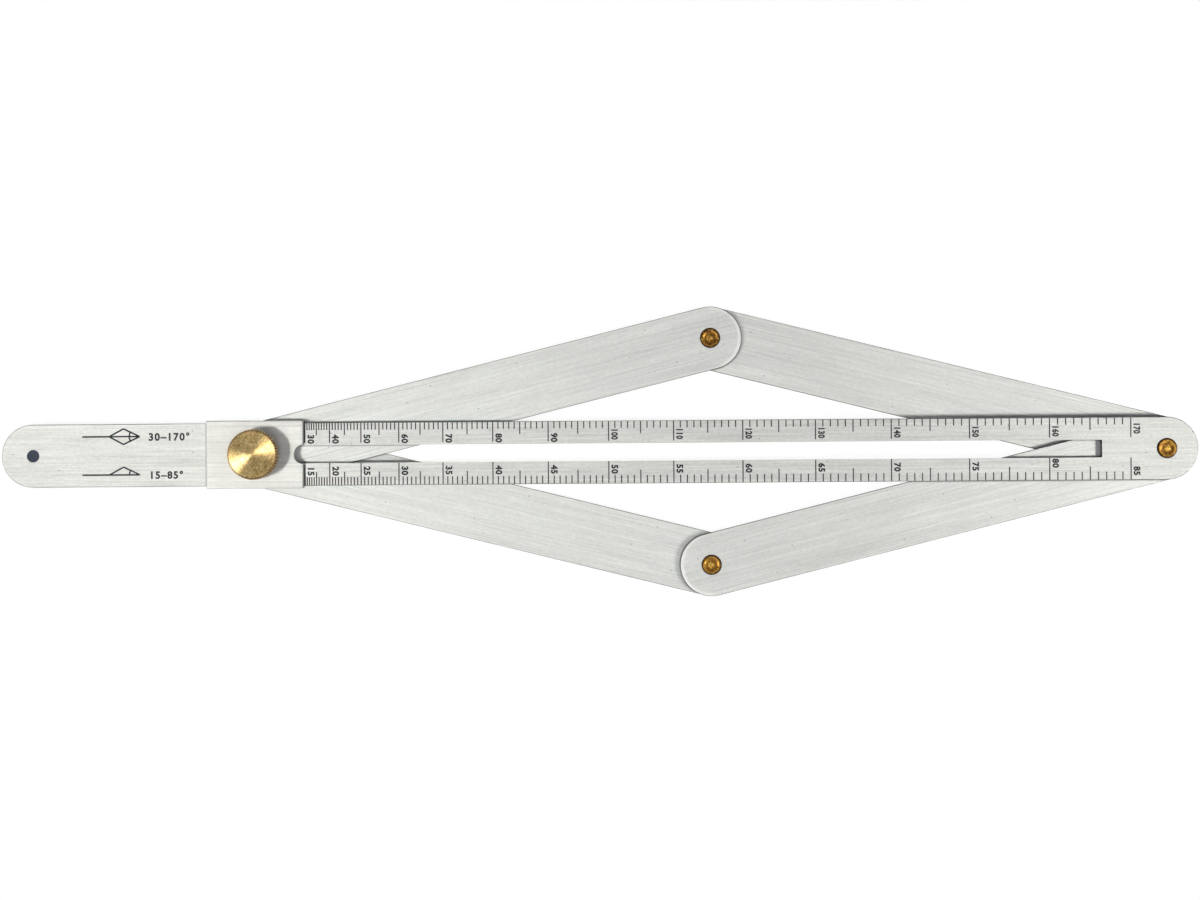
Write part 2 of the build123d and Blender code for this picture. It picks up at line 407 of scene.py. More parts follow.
# %% Rule, slider and arms get their brushing
rule_colour = (0.66, 0.66, 0.63)
arm_colour = (0.70, 0.705, 0.675)
slider_colour = (0.72, 0.715, 0.68)
rule_centre = (0, 0, rule_top)
rule_look = {"contrast": 0.9, "wear": 0.05, "edge_shade": 0.16}
slider_look = {"contrast": 0.55, "wear": 0.03, "edge_shade": 0.85}
arm_look = {"contrast": 0.65, "wear": 0.08, "edge_shade": 0.26, "ends": (0.0, arm_pitch)}
dress("scale_rule", brushed_aluminium("rule_brushed", rule_colour, rule_centre, **rule_look))
dress("slider", brushed_aluminium("slider_brushed", slider_colour, slider_pivot, **slider_look))
arm_ends = {
    "upper_gauge_arm": (end_pivot, upper_elbow),
    "lower_gauge_arm": (end_pivot, lower_elbow),
    "upper_link_arm": (slider_pivot, upper_elbow),
    "lower_link_arm": (slider_pivot, lower_elbow),
}
for arm, (start, end) in arm_ends.items():
    along = end - start
    turn = math.atan2(along.y, along.x)
    dress(arm, brushed_aluminium(arm + "_brushed", arm_colour, start, turn=turn, **arm_look))
    print(arm, "is brushed at", round(math.degrees(turn), 2), "degrees")

# %% [markdown]
# ## Brass
# The knob is turned from free-cutting brass.  Its face carries the lathe tool's rings, far too fine to
# count in a photograph, but they show as two bright wedges, one towards the lamp and one away from it.
# That is what an anisotropic shader gives with no map at all: without a tangent of its own it takes the
# rings round the middle of the part.  Handling has left dark flecks between fine scratches, and more are
# painted on the lower side of the face as painted shade.  The gaps of the knurl and its bevel are painted
# dark as shade, while the tips of its teeth stay bright.


# %% Turned brass
dull_brass = (0.70, 0.45, 0.155)
bright_brass = (0.80, 0.56, 0.24)
# Dark flecks, and the painted shade on the face's lower side.
fleck_and_shade_brown = (0.20, 0.125, 0.03)
scratch_brown = (0.2, 0.12, 0.03)
nick_shine = (1.0, 0.85, 0.48)
# The colour of the painted shade in the knurl.
knurl_shade_brown = (0.13, 0.06, 0.015)
ring_pitch = 0.12


def radius_from(tree, place):
    """Distance from the centre's upright axis, in millimetres."""
    return (place * (1, 1, 0)).of("LENGTH")


def crossed_scratches(tree, place, share, runs):
    """Scratches in several runs, each of them an angle, a length and a width."""
    return sum(scratches(tree, place, angle, length, width, share) for angle, length, width in runs)


def greasy_knurl(tree, radius, angle, unshaded_radius, teeth):
    """Where shade is painted: 1 outside the unshaded radius, and little on the tips of the teeth."""
    turns = angle * (teeth / math.tau)
    on_tooth = soft_step(tree, turns.of("PINGPONG", 0.5) * 2, 0.3, 0.7)
    tips = soft_step(tree, radius, unshaded_radius + 0.2, unshaded_radius + 0.35) * on_tooth
    return soft_step(tree, radius, unshaded_radius, unshaded_radius + 0.1) * (1 - tips * 0.85)


def turned_brass(name, centre, anisotropy, fleck_share, unshaded_radius, teeth=0):
    """Brass with the rings of a lathe tool round an upright axis.  Outside the unshaded radius it is painted
    dark as shade, most of all between the teeth of a knurl."""
    material, tree = new_material(name)
    place = place_in(tree, centre)
    radius = radius_from(tree, place)
    rings = (radius * (math.tau / ring_pitch)).of("SINE")
    grain = noise(tree, place, length=0.7, width=0.7, detail=5.0)
    stain = noise(tree, place, length=3.5, width=3.5, detail=3.0)
    nicks = crossed_scratches(tree, place, 0.25, ((0.9, 2.2, 0.11), (2.5, 1.9, 0.10)))
    lines = crossed_scratches(tree, place, 0.28, ((1.5, 2.2, 0.14), (-0.2, 1.8, 0.13)))
    x = tree.node("ShaderNodeSeparateXYZ", {}, {"Vector": place})
    y = x.out("Y")
    # Painted shade: more dark flecks on the lower side of the face, so that side is darker.
    towards_lower_side = (x * 0.35 - y * 0.94) / (radius + 0.5)
    lower_side_shade = soft_step(tree, towards_lower_side, 0.35, 0.85)
    flecks_and_lower_shade = soft_step(tree, grain * 0.75 + stain * 0.25, 0.40, 0.66) * fleck_share
    flecks_and_lower_shade = flecks_and_lower_shade + (1 - flecks_and_lower_shade) * lower_side_shade * 0.45
    # Painted shade in the gaps of the knurl and over its bevel.
    knurl_shade = greasy_knurl(tree, radius, y.of("ARCTAN2", x), unshaded_radius, teeth)
    surface = mix_colours(tree, stain, dull_brass, bright_brass)
    layers = [(flecks_and_lower_shade, fleck_and_shade_brown), (lines * 0.5, scratch_brown), (nicks * 0.6, nick_shine)]
    surface = lay_on(tree, surface, [*layers, (knurl_shade, knurl_shade_brown)])
    height = rings * 0.4 + grain - nicks * 0.5
    bump = tree.node("ShaderNodeBump", {}, {"Strength": 0.25, "Distance": 0.008 * mm, "Height": height})
    inputs = {
        "Base Color": surface,
        "Metallic": 1 - knurl_shade * 0.7,
        "Roughness": 0.34 + (stain - 0.5) * 0.12 + flecks_and_lower_shade * 0.15 + knurl_shade * 0.3,
        "Anisotropic": anisotropy,
        "Anisotropic Rotation": 0.25,
        "Normal": bump,
    }
    finish_with(tree, inputs)
    return material


knob_axis = (slider_pivot.x, 0, 0)
knob_teeth = 52
knob_look = {"anisotropy": 0.84, "fleck_share": 0.72, "unshaded_radius": 9.15, "teeth": knob_teeth}
bush_look = {"anisotropy": 0.0, "fleck_share": 0.4, "unshaded_radius": 6.2}
knob_brass = turned_brass("knob_brass_turned", knob_axis, **knob_look)
plain_brass = turned_brass("bush_brass_turned", knob_axis, **bush_look)
dress("pivot_bush", plain_brass)
dress("knob_washer", plain_brass)
# Outside this radius the brass is painted dark as shade.
print("the knob's brass stays clean inside a radius of", knob_look["unshaded_radius"], "mm")


# %% [markdown]
# The rivets are a redder brass.  Handling has browned them: the punch leaves the middle bright, and the
# corner round the head is painted near black as shade.  A colour ramp on the distance from the rivet's own
# axis, made uneven by noise, puts those rings in their places.


# %% Set and browned rivet brass
spot_brown = (0.10, 0.04, 0.01)
rivet_rings_and_shade = [
    (0.00, (0.84, 0.53, 0.12)),
    (0.24, (0.66, 0.38, 0.06)),
    (0.40, (0.18, 0.075, 0.01)),
    (0.56, (0.28, 0.12, 0.02)),
    (0.72, (0.55, 0.31, 0.05)),
    (0.83, (0.32, 0.15, 0.03)),
    # Painted shade: near black in the corner round the head.
    (0.91, (0.025, 0.015, 0.008)),
]


def rivet_brass(name, centre, head_radius, browning):
    """Rivet brass whose colour goes by the distance from the rivet's axis."""
    material, tree = new_material(name)
    place = place_in(tree, centre)
    uneven = noise(tree, place, length=1.1, width=1.1, detail=4.0)
    radius = radius_from(tree, place) / (head_radius / mm)
    radius = radius + (uneven - 0.5) * 0.75 * (1 - soft_step(tree, radius, 0.6, 0.95))
    rings = tree.node("ShaderNodeValToRGB", {"stops": rivet_rings_and_shade}, {"Fac": radius})
    spots = soft_step(tree, noise(tree, place, length=0.7, width=0.7, detail=3.0), 0.46, 0.6)
    surface = mix_colours(tree, spots * browning, rings, spot_brown)
    bump = tree.node("ShaderNodeBump", {}, {"Strength": 0.7, "Distance": 0.08 * mm, "Height": uneven})
    inputs = {"Base Color": surface, "Metallic": 0.85, "Roughness": 0.42 + spots * 0.2, "Normal": bump}
    finish_with(tree, inputs)
    return material


# %% [markdown]
# ## Nylon and ink
# The thin washers between the bars are natural nylon, a little translucent and slightly marbled.  The
# scale is printed in black ink, which sits on the brushed surface and breaks up a little where the lines
# of the brushing run under it.


# %% Nylon and ink
def natural_nylon():
    """Milky washer nylon."""
    material, tree = new_material("nylon_natural")
    place = place_in(tree, (0, 0, 0))
    marbling = noise(tree, place, length=1.6, width=1.6, detail=3.0)
    surface = mix_colours(tree, marbling, (0.78, 0.78, 0.74), (0.88, 0.88, 0.85))
    bump = tree.node("ShaderNodeBump", {}, {"Strength": 0.2, "Distance": 0.01 * mm, "Height": marbling})
    inputs = {
        "Base Color": surface,
        "Roughness": 0.45 + marbling * 0.15,
        "Subsurface Weight": 0.15,
        "Subsurface Radius": (mm, mm, mm),
        "Normal": bump,
    }
    finish_with(tree, inputs)
    return material


def printing_ink():
    """Black ink over brushed metal."""
    material, tree = new_material("ink_black")
    place = place_in(tree, (0, 0, 0))
    lines = noise(tree, place, length=12, width=0.12)
    thin = soft_step(tree, lines, 0.62, 0.8)
    surface = mix_colours(tree, thin, (0.008, 0.009, 0.012), (0.06, 0.06, 0.07))
    bump = tree.node("ShaderNodeBump", {}, {"Strength": 0.2, "Distance": 0.005 * mm, "Height": lines})
    finish_with(tree, {"Base Color": surface, "Roughness": 0.6 + thin * 0.2, "Normal": bump})
    return material


nylon = natural_nylon()
ink = printing_ink()
washers = [name for name in nodes if name.endswith("_washer") and name != "knob_washer"]
for washer in washers:
    dress(washer, nylon)
print(len(washers), "nylon washers")

# %% [markdown]
# ## Geometry Nodes from a script
# What repeats or follows a rule is made by Geometry Nodes: the marks of the scale, its figures, the teeth
# of the knurl and the turned heads.  A tree has named inputs, so that one tree serves several parts.  It
# runs as a modifier on a small base mesh, and what it makes is then copied to a plain mesh.


# %% Making and running a geometry tree
def floats(*labels):
    """Named inputs that are plain numbers."""
    return dict.fromkeys(labels, "Float")


def geometry_tree(name, sizes):
    """A new Geometry Nodes tree.  Returns it with its Tree and a wire for each named input."""
    group = bpy.data.node_groups.new(name, "GeometryNodeTree")
    group.interface.new_socket("Geometry", in_out="OUTPUT", socket_type="NodeSocketGeometry")
    group.interface.new_socket("Geometry", in_out="INPUT", socket_type="NodeSocketGeometry")
    for label, kind in sizes.items():
        group.interface.new_socket(label, in_out="INPUT", socket_type="NodeSocket" + kind)
    tree = Tree(group)
    first = tree.node("NodeGroupInput")
    return group, tree, {label: first.out(label) for label in ["Geometry", *sizes]}


def finish_geometry(tree, geometry, material):
    """Ends a tree: instances are made real and get their material."""
    real = tree.node("GeometryNodeRealizeInstances", {}, {"Geometry": geometry})
    painted = tree.node("GeometryNodeSetMaterial", {}, {"Geometry": real, "Material": material})
    tree.node("NodeGroupOutput", {}, {"Geometry": painted})


def plain_mesh(name, points, edges=(), faces=()):
    """A mesh from lists of points, edges and faces."""
    mesh = bpy.data.meshes.new(name)
    mesh.from_pydata(list(points), list(edges), list(faces))
    return mesh


def add_object(name, data):
    """A new object in the scene."""
    made = bpy.data.objects.new(name, data)
    bpy.context.scene.collection.objects.link(made)
    return made


def run_tree(name, group, base, sizes):
    """Runs a geometry tree on a base mesh and keeps the result as a new plain object."""
    carrier = add_object(name + "_base", base)
    modifier = carrier.modifiers.new("shape", "NODES")
    modifier.node_group = group
    for item in group.interface.items_tree:
        if item.in_out == "INPUT" and item.name in sizes:
            modifier[item.identifier] = sizes[item.name]
    whole = carrier.evaluated_get(bpy.context.evaluated_depsgraph_get())
    mesh = bpy.data.meshes.new_from_object(whole)
    mesh.name = name
    bpy.data.objects.remove(carrier)
    print(name, "has", len(mesh.vertices), "points and", len(mesh.polygons), "faces")
    return add_object(name, mesh)


# %% [markdown]
# ## The marks of the scale
# The slider's pivot is the far corner of a rhombus, so it stands at twice the arm pitch times the cosine
# of the half angle from the end pivot, and its reading edge a fixed distance further on.  The marks are
# therefore crowded at the left and open out to the right.  Both strips have a mark at every half degree of
# the half angle.  The print on the real tool stands a millimetre to the left of its true place, about one
# degree at the closed end, and is left so.  A node tree is right for this: it puts one thin bar of ink on
# each point of a formula, and makes every fifth and tenth bar longer.

# %% The tree of the marks
print_shift = -1.1 * mm
scale_zero = end_pivot.x + slider_high.x - slider_pivot.x + print_shift
first_half_angle = 15.0
half_angle_step = 0.5
mark_count = 141
ink_thickness = 0.02 * mm
ink_sink = 0.005 * mm


def scale_position(half_angle, zero, pitch):
    """Where the reading edge stands at a half angle in degrees."""
    return zero - (half_angle * math.radians(1)).of("COSINE") * 2 * pitch


def marks_tree():
    """Bars of ink at equal steps of angle, from an edge of the rule inwards."""
    sizes = {
        **floats("Scale zero", "Arm pitch", "First half angle", "Half angle step", "Edge", "Inwards"),
        **floats("Short mark", "Middle mark", "Long mark", "Line width", "Ink thickness", "Ink level"),
        "Count": "Int",
        "Ink": "Material",
    }
    group, tree, given = geometry_tree("scale_marks", sizes)
    index = tree.node("GeometryNodeInputIndex") + 0.0
    half_angle = given["First half angle"] + index * given["Half angle step"]
    x = scale_position(half_angle, given["Scale zero"], given["Arm pitch"])
    is_fifth = (index % 5) < 0.5
    is_tenth = (index % 10) < 0.5
    middle_extra = given["Middle mark"] - given["Short mark"]
    long_extra = given["Long mark"] - given["Middle mark"]
    length = given["Short mark"] + is_fifth * middle_extra + is_tenth * long_extra
    y = given["Edge"] + given["Inwards"] * length / 2
    at = tree.node("ShaderNodeCombineXYZ", {}, {"X": x, "Y": y, "Z": given["Ink level"]})
    points = tree.node("GeometryNodePoints", {}, {"Count": given["Count"], "Position": at})
    bar = tree.node("GeometryNodeMeshCube", {}, {"Size": 1.0})
    size = {"X": given["Line width"], "Y": length, "Z": given["Ink thickness"]}
    scale = tree.node("ShaderNodeCombineXYZ", {}, size)
    bars = tree.node("GeometryNodeInstanceOnPoints", {}, {"Points": points, "Instance": bar, "Scale": scale})
    finish_geometry(tree, bars, given["Ink"])
    return group


# %% The marks of both strips
marks_group = marks_tree()
line_width = 0.45 * mm
ink_level = rule_top + ink_thickness / 2 - ink_sink
edge_flat = rule_high.y - 0.25 * mm
shared_sizes = {
    "Scale zero": scale_zero,
    "Arm pitch": arm_pitch,
    "First half angle": first_half_angle,
    "Half angle step": half_angle_step,
    "Ink thickness": ink_thickness,
    "Ink level": ink_level,
    "Ink": ink,
}
mark_sizes = {
    "upper_scale_marks": {
        "Edge": edge_flat,
        "Inwards": -1.0,
        "Short mark": 2.7 * mm,
        "Middle mark": 4.8 * mm,
        "Long mark": 7.8 * mm,
    },
    "lower_scale_marks": {
        "Edge": -edge_flat,
        "Inwards": 1.0,
        "Short mark": 3.1 * mm,
        "Middle mark": 5.2 * mm,
        "Long mark": 8.7 * mm,
    },
}
marks = []
for strip, sizes in mark_sizes.items():
    values = {**shared_sizes, **sizes, "Count": mark_count, "Line width": line_width}
    marks.append(run_tree(strip, marks_group, plain_mesh(strip, []), values))
last_half_angle = first_half_angle + half_angle_step * (mark_count - 1)
for angle in (first_half_angle, last_half_angle):
    mark_x = scale_zero - 2 * arm_pitch * math.cos(math.radians(angle))
    print("half angle", angle, "stands at", round(mark_x / mm, 2), "mm")

# %% [markdown]
# ## The figures
# The figures stand beside every tenth mark, on their side, so that they read from the right-hand end.
# Ten digits are made once from Blender's own font, thickened, and kept as small meshes.  A node tree then
# works out each figure's value from its place on the scale, takes it apart into digits with division and
# remainder, and picks the mesh for each digit.  Three-digit figures are set narrower and higher, to fit
# between the short marks and the slot.  The last figures were moved to clear the slot's end.


# %% Letters as closed meshes
digit_part = 0.73  # of the font's size, which is the height of a 0


def glyph_mesh(text, height, boldness, spacing=1.0):
    """Letters of ink as a mesh: a 0 is as tall as the height, and the text is centred on X 0."""
    curve = bpy.data.curves.new("glyph", "FONT")
    curve.body = text
    curve.align_x = "CENTER"
    curve.resolution_u = 3
    curve.space_character = spacing
    curve.size = height / digit_part
    curve.offset = boldness
    curve.extrude = ink_thickness / 2
    carrier = bpy.data.objects.new("glyph", curve)
    mesh = bpy.data.meshes.new_from_object(carrier)
    bpy.data.objects.remove(carrier)
    mesh.materials.clear()
    tidy = bmesh.new()
    tidy.from_mesh(mesh)
    bmesh.ops.remove_doubles(tidy, verts=tidy.verts, dist=1e-6)
    bmesh.ops.recalc_face_normals(tidy, faces=tidy.faces)
    tidy.to_mesh(mesh)
    tidy.free()
    return mesh


figure_height = 2.5 * mm
figure_boldness = 0.16 * mm
digit_box = bpy.data.collections.new("digits")
bpy.context.scene.collection.children.link(digit_box)
for digit in range(10):
    mesh = glyph_mesh(str(digit), figure_height, figure_boldness)
    digit_box.objects.link(bpy.data.objects.new(f"digit_{digit}", mesh))


# %% The tree of the figures
def figures_tree():
    """Numbers beside equal steps of angle, each digit an instance of its own mesh."""
    sizes = {
        **floats("Scale zero", "Arm pitch", "First half angle", "Half angle step", "Ink level"),
        **floats("First value", "Value step", "Beside the mark", "Foot of the figure", "Digit pitch"),
        **floats("Long figure raised", "Last raised", "Last but one raised"),
        "Count": "Int",
        "Digits": "Collection",
        "Ink": "Material",
    }
    group, tree, given = geometry_tree("scale_figures", sizes)
    index = tree.node("GeometryNodeInputIndex")
    figure = (index / 3).of("FLOOR")
    place = index % 3
    value = given["First value"] + figure * given["Value step"]
    power = 10**place
    digit = ((value + 0.01) / power).of("FLOOR") % 10
    is_long = value > 99.5
    narrow = 1 - is_long * 0.18
    is_last = figure > given["Count"] - 1.5
    is_last_but_one = (figure > given["Count"] - 2.5) - is_last
    raised = is_long * given["Long figure raised"] + is_last * given["Last raised"]
    raised = raised + is_last_but_one * given["Last but one raised"]
    half_angle = given["First half angle"] + figure * given["Half angle step"]
    x = scale_position(half_angle, given["Scale zero"], given["Arm pitch"]) + given["Beside the mark"]
    y = given["Foot of the figure"] + raised + (place + 0.5) * given["Digit pitch"] * narrow
    at = tree.node("ShaderNodeCombineXYZ", {}, {"X": x, "Y": y, "Z": given["Ink level"]})
    count = given["Count"] * 3
    points = tree.node("GeometryNodePoints", {}, {"Count": count, "Position": at})
    settings = {"transform_space": "ORIGINAL"}
    inputs = {"Collection": given["Digits"], "Separate Children": True, "Reset Children": True}
    digits = tree.node("GeometryNodeCollectionInfo", settings, inputs)
    size = tree.node("ShaderNodeCombineXYZ", {}, {"X": narrow, "Y": 1.0, "Z": 1.0})
    inputs = {
        "Points": points,
        "Selection": value > power - 0.5,
        "Instance": digits,
        "Pick Instance": True,
        "Instance Index": digit,
        "Rotation": (0.0, 0.0, -math.pi / 2),
        "Scale": size,
    }
    figures = tree.node("GeometryNodeInstanceOnPoints", {}, inputs)
    finish_geometry(tree, figures, given["Ink"])
    return group


# %% The figures of both strips
figures_group = figures_tree()
figure_sizes = {
    "upper_scale_figures": {
        "First value": 30.0,
        "Value step": 10.0,
        "Foot of the figure": 4.1 * mm,
        "Long figure raised": 0.8 * mm,
        "Last raised": 0.9 * mm,
    },
    "lower_scale_figures": {
        "First value": 15.0,
        "Value step": 5.0,
        "Foot of the figure": -8.6 * mm,
        "Last raised": -2.2 * mm,
        "Last but one raised": 1.1 * mm,
    },
}
shared_sizes["Digits"] = digit_box
shared_sizes["Digit pitch"] = 1.85 * mm
shared_sizes["Beside the mark"] = 1.2 * mm
shared_sizes["Half angle step"] = 10 * half_angle_step
shared_sizes["Count"] = (mark_count - 1) // 10 + 1
figures = []
for strip, sizes in figure_sizes.items():
    values = {**shared_sizes, **sizes}
    figures.append(run_tree(strip, figures_group, plain_mesh(strip, []), values))
for helper in list(digit_box.objects):
    bpy.data.objects.remove(helper)
bpy.data.collections.remove(digit_box)

# %% [markdown]
# ## The signs at the left end
# Beside each strip's range a small diagram of the tool says which angle the strip gives: the upper one the
# whole angle between the arms, the lower one its half.  A line drawing is easiest to write as points, with
# each stroke a run of edges.  A tree turns the strokes into curves and sweeps a flat bar of ink along them.


# %% The tree of the strokes
def strokes_tree():
    """A flat bar of ink swept along every run of edges."""
    sizes = {**floats("Line width", "Ink thickness"), "Ink": "Material"}
    group, tree, given = geometry_tree("ink_strokes", sizes)
    lines = tree.node("GeometryNodeMeshToCurve", {}, {"Mesh": given["Geometry"]})
    level = tree.node("GeometryNodeSetCurveNormal", {"mode": "Z_UP"}, {"Curve": lines})
    bar_size = {"Width": given["Line width"], "Height": given["Ink thickness"]}
    bar = tree.node("GeometryNodeCurvePrimitiveQuadrilateral", {}, bar_size)
    inputs = {"Curve": level, "Profile Curve": bar, "Fill Caps": True}
    swept = tree.node("GeometryNodeCurveToMesh", {}, inputs)
    finish_geometry(tree, swept, given["Ink"])
    return group


def strokes_mesh(name, strokes):
    """Runs of points in the plane of the ink, as edges."""
    points = []
    edges = []
    for stroke in strokes:
        start = len(points)
        points += [(x * mm, y * mm, ink_level) for x, y in stroke]
        edges += [(number, number + 1) for number in range(start, len(points) - 1)]
    return plain_mesh(name, points, edges)


def arc(centre, radius, start, end, steps=10):
    """Points on an arc, with angles in degrees."""
    turns = [math.radians(start + (end - start) * step / steps) for step in range(steps + 1)]
    return [(centre[0] + radius * math.cos(turn), centre[1] + radius * math.sin(turn)) for turn in turns]


# %% The two signs
line_start = -205.5
tail_x = -194.8
elbow_x = -189.1
tip = -182.7
rise = 3.1
arc_radius = 4.1
upper_row = 7.5
lower_row = -7.7
lean = math.degrees(math.atan2(rise, tip - elbow_x))
strokes = []
for row, sides in ((upper_row, (1, -1)), (lower_row, (1,))):
    strokes.append([(line_start, row), (tip, row)])
    for side in sides:
        strokes.append([(tail_x, row), (elbow_x, row + side * rise)])
        strokes.append([(elbow_x, row + side * rise), (tip, row)])
        strokes.append(arc((tip, row), arc_radius, 180 - side * lean, 180))
sizes = {"Line width": 0.6 * mm, "Ink thickness": ink_thickness, "Ink": ink}
signs = run_tree("range_signs", strokes_tree(), strokes_mesh("range_signs", strokes), sizes)


# %% The ranges of both strips
text_boldness = 0.15 * mm
text_spacing = 1.2


def ink_text(name, text, middle, foot, height):
    """Flat letters with their place in the mesh."""
    mesh = glyph_mesh(text, height, text_boldness, text_spacing)
    mesh.transform(Matrix.Translation((middle, foot, ink_level)))
    mesh.materials.append(ink)
    mesh.name = name
    print(name, "has", len(mesh.polygons), "faces")
    return add_object(name, mesh)


whole_place = {"middle": -171.0 * mm, "foot": 5.9 * mm, "height": 3.0 * mm}
half_place = {"middle": -172.2 * mm, "foot": -9.2 * mm, "height": 2.9 * mm}
whole_range = ink_text("whole_angle_range", "30–170°", **whole_place)
half_range = ink_text("half_angle_range", "15–85°", **half_place)
for piece in [*marks, *figures, signs, whole_range, half_range]:
    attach(piece, "rule")

# %% [markdown]
# ## Turned parts
# A turned part is a line drawn once and swept round an axis, so its shape is a short list of radius and
# height.  The tree below lays a grid of points, one row for each point of the line, and rolls it round the
# axis.  Because it knows every point's angle, it can also press the straight knurl into the rim: wherever
# the line is at full radius, the radius falls and rises again once for every tooth.  A thread is the same
# idea with the height added to the angle.


# %% The tree of the turned parts
merge_distance = 5e-7


def turned_tree():
    """A profile swept round an upright axis, with teeth or a thread on its widest part."""
    sizes = {
        "Centre": "Vector",
        "Rows": "Int",
        "Steps": "Int",
        **floats("Full radius", "Teeth", "Tooth depth", "Thread pitch", "Thread depth", "Sharp edge"),
        "Metal": "Material",
    }
    group, tree, given = geometry_tree("turned_part", sizes)
    columns = given["Steps"] + 1
    grid = tree.node("GeometryNodeMeshGrid", {}, {"Vertices X": given["Rows"], "Vertices Y": columns})
    index = tree.node("GeometryNodeInputIndex")
    row = ((index + 0.5) / columns).of("FLOOR")
    turn = (index - row * columns) / given["Steps"]
    settings = {"data_type": "FLOAT_VECTOR", "domain": "POINT"}
    place = tree.node("GeometryNodeInputPosition")
    inputs = {"Geometry": given["Geometry"], "Value": place, "Index": row}
    profile = tree.node("GeometryNodeSampleIndex", settings, inputs)
    parts = tree.node("ShaderNodeSeparateXYZ", {}, {"Vector": profile})
    height = parts.out("Z")
    tooth_gap = 1 - (turn * given["Teeth"]).of("PINGPONG", 0.5) * 2
    groove = (turn + height / given["Thread pitch"]).of("PINGPONG", 0.5) * 2
    cut = given["Full radius"] - tooth_gap * given["Tooth depth"] - groove * given["Thread depth"]
    radius = parts.out("X").of("MINIMUM", cut)
    angle = turn * math.tau
    x = radius * angle.of("COSINE")
    y = radius * angle.of("SINE")
    rolled = tree.node("ShaderNodeCombineXYZ", {}, {"X": x, "Y": y, "Z": height})
    inputs = {"Geometry": grid, "Position": rolled + given["Centre"]}
    placed = tree.node("GeometryNodeSetPosition", {}, inputs)
    closed = tree.node("GeometryNodeMergeByDistance", {}, {"Geometry": placed, "Distance": merge_distance})
    bend = tree.node("GeometryNodeInputMeshEdgeAngle")
    inputs = {"Geometry": closed, "Selection": bend > given["Sharp edge"], "Shade Smooth": False}
    creased = tree.node("GeometryNodeSetShadeSmooth", {"domain": "EDGE"}, inputs)
    finish_geometry(tree, creased, given["Metal"])
    return group


turned_group = turned_tree()


def turned_part(name, centre, profile, metal, steps=64, teeth=1.0, tooth=0.0, pitch=1.0, thread=0.0):
    """A turned part from its profile in millimetres, listed from the top of the axis to its bottom."""
    points = [(radius * mm, 0.0, height * mm) for radius, height in profile]
    sizes = {
        "Centre": (centre[0], centre[1], 0.0),
        "Rows": len(points),
        "Steps": steps,
        "Full radius": max(radius for radius, height in profile) * mm,
        "Teeth": float(teeth),
        "Tooth depth": tooth * mm,
        "Thread pitch": pitch * mm,
        "Thread depth": thread * mm,
        "Sharp edge": 0.6,
        "Metal": metal,
    }
    return run_tree(name, turned_group, plain_mesh(name, points), sizes)


# %% [markdown]
# ## The knob
# The knob screws the slider fast to the rule.  Its rim has a straight knurl for the fingers, which on the
# real knob is rolled in by hardened wheels: fifty-two teeth, cut off by a bevel above and below.  The
# face is not quite flat.  It falls by less than a tenth of a millimetre towards the rim, which spreads the
# bright wedges a little, as on the real one.

# %% The knurled knob and its screw
knob_low, knob_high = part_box("thumb_screw")
washer_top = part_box("knob_washer")[1].z / mm
top = knob_high.z / mm
knob_radius = (knob_high.x - knob_low.x) / 2 / mm
collar_radius = 5.5
collar_top = washer_top + 1.6
face_fall = 0.0008
face = [(radius, top - face_fall * radius**2) for radius in (0.0, 1.5, 3.0, 4.5, 6.0, 7.5, 8.8)]
bevel = [(knob_radius - inwards, top - down) for inwards, down in ((0.72, 0.08), (0.60, 0.16), (0.35, 0.32))]
knob_profile = [
    *face,
    *bevel,
    (knob_radius, top - 0.66),
    (knob_radius, top - 1.6),
    (knob_radius, collar_top + 1.6),
    (knob_radius, collar_top + 0.62),
    (knob_radius - 0.6, collar_top),
    (collar_radius, collar_top),
    (collar_radius, washer_top),
    (0.0, washer_top),
]
knurl = {"steps": 6 * knob_teeth, "teeth": knob_teeth, "tooth": 0.4}
knob = turned_part("knurled_knob", slider_pivot, knob_profile, knob_brass, **knurl)

# %% The thread of the screw
screw_low = knob_low.z / mm
screw_start = washer_top + 0.3
thread_top = washer_top - 0.2
thread_low = screw_low + 0.5
thread_radius = 2.5
neck_radius = 2.3
tip_radius = 1.9
thread_rows = 33
thread_step = (thread_top - thread_low) / (thread_rows - 1)
thread_profile = [(0.0, screw_start), (neck_radius, screw_start), (neck_radius, thread_top + 0.1)]
thread_profile += [(thread_radius, thread_top - row * thread_step) for row in range(thread_rows)]
thread_profile += [(tip_radius, screw_low), (0.0, screw_low)]
thread = {"steps": 40, "pitch": 0.8, "thread": 0.42}
screw = turned_part("knob_screw", slider_pivot, thread_profile, plain_brass, **thread)
for piece in (knob, screw):
    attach(piece, "thumb_screw")
    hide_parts("thumb_screw")

# %% [markdown]
# ## The rivets
# A rivet with a dished head is spread by a punch.  That leaves a low rim round a shallow bowl, and a tail
# beneath that is wider than the hole.  The same tree turns them: only the list of points differs.

# %% Rivets at both elbows and at the end pivot
rivet_neck = 2.45


def rivet_profile(head, foot, outside):
    """From the bowl that the punch left, over the head's rim and down the neck to the spread tail."""
    return [
        (0.0, head - 0.24),
        (0.8, head - 0.24),
        (1.2, head - 0.32),
        (1.7, head - 0.34),
        (2.2, head - 0.26),
        (2.6, head - 0.10),
        (2.9, head - 0.02),
        (3.2, head),
        (3.5, head - 0.04),
        (3.8, head - 0.16),
        (outside, head - 0.32),
        (outside - 0.02, head - 0.5),
        (rivet_neck, head - 0.5),
        (rivet_neck, foot + 1.0),
        (outside, foot + 0.98),
        (outside, foot + 0.4),
        (outside - 0.3, foot + 0.05),
        (outside - 0.6, foot),
        (1.4, foot),
        (0.0, foot + 0.12),
    ]


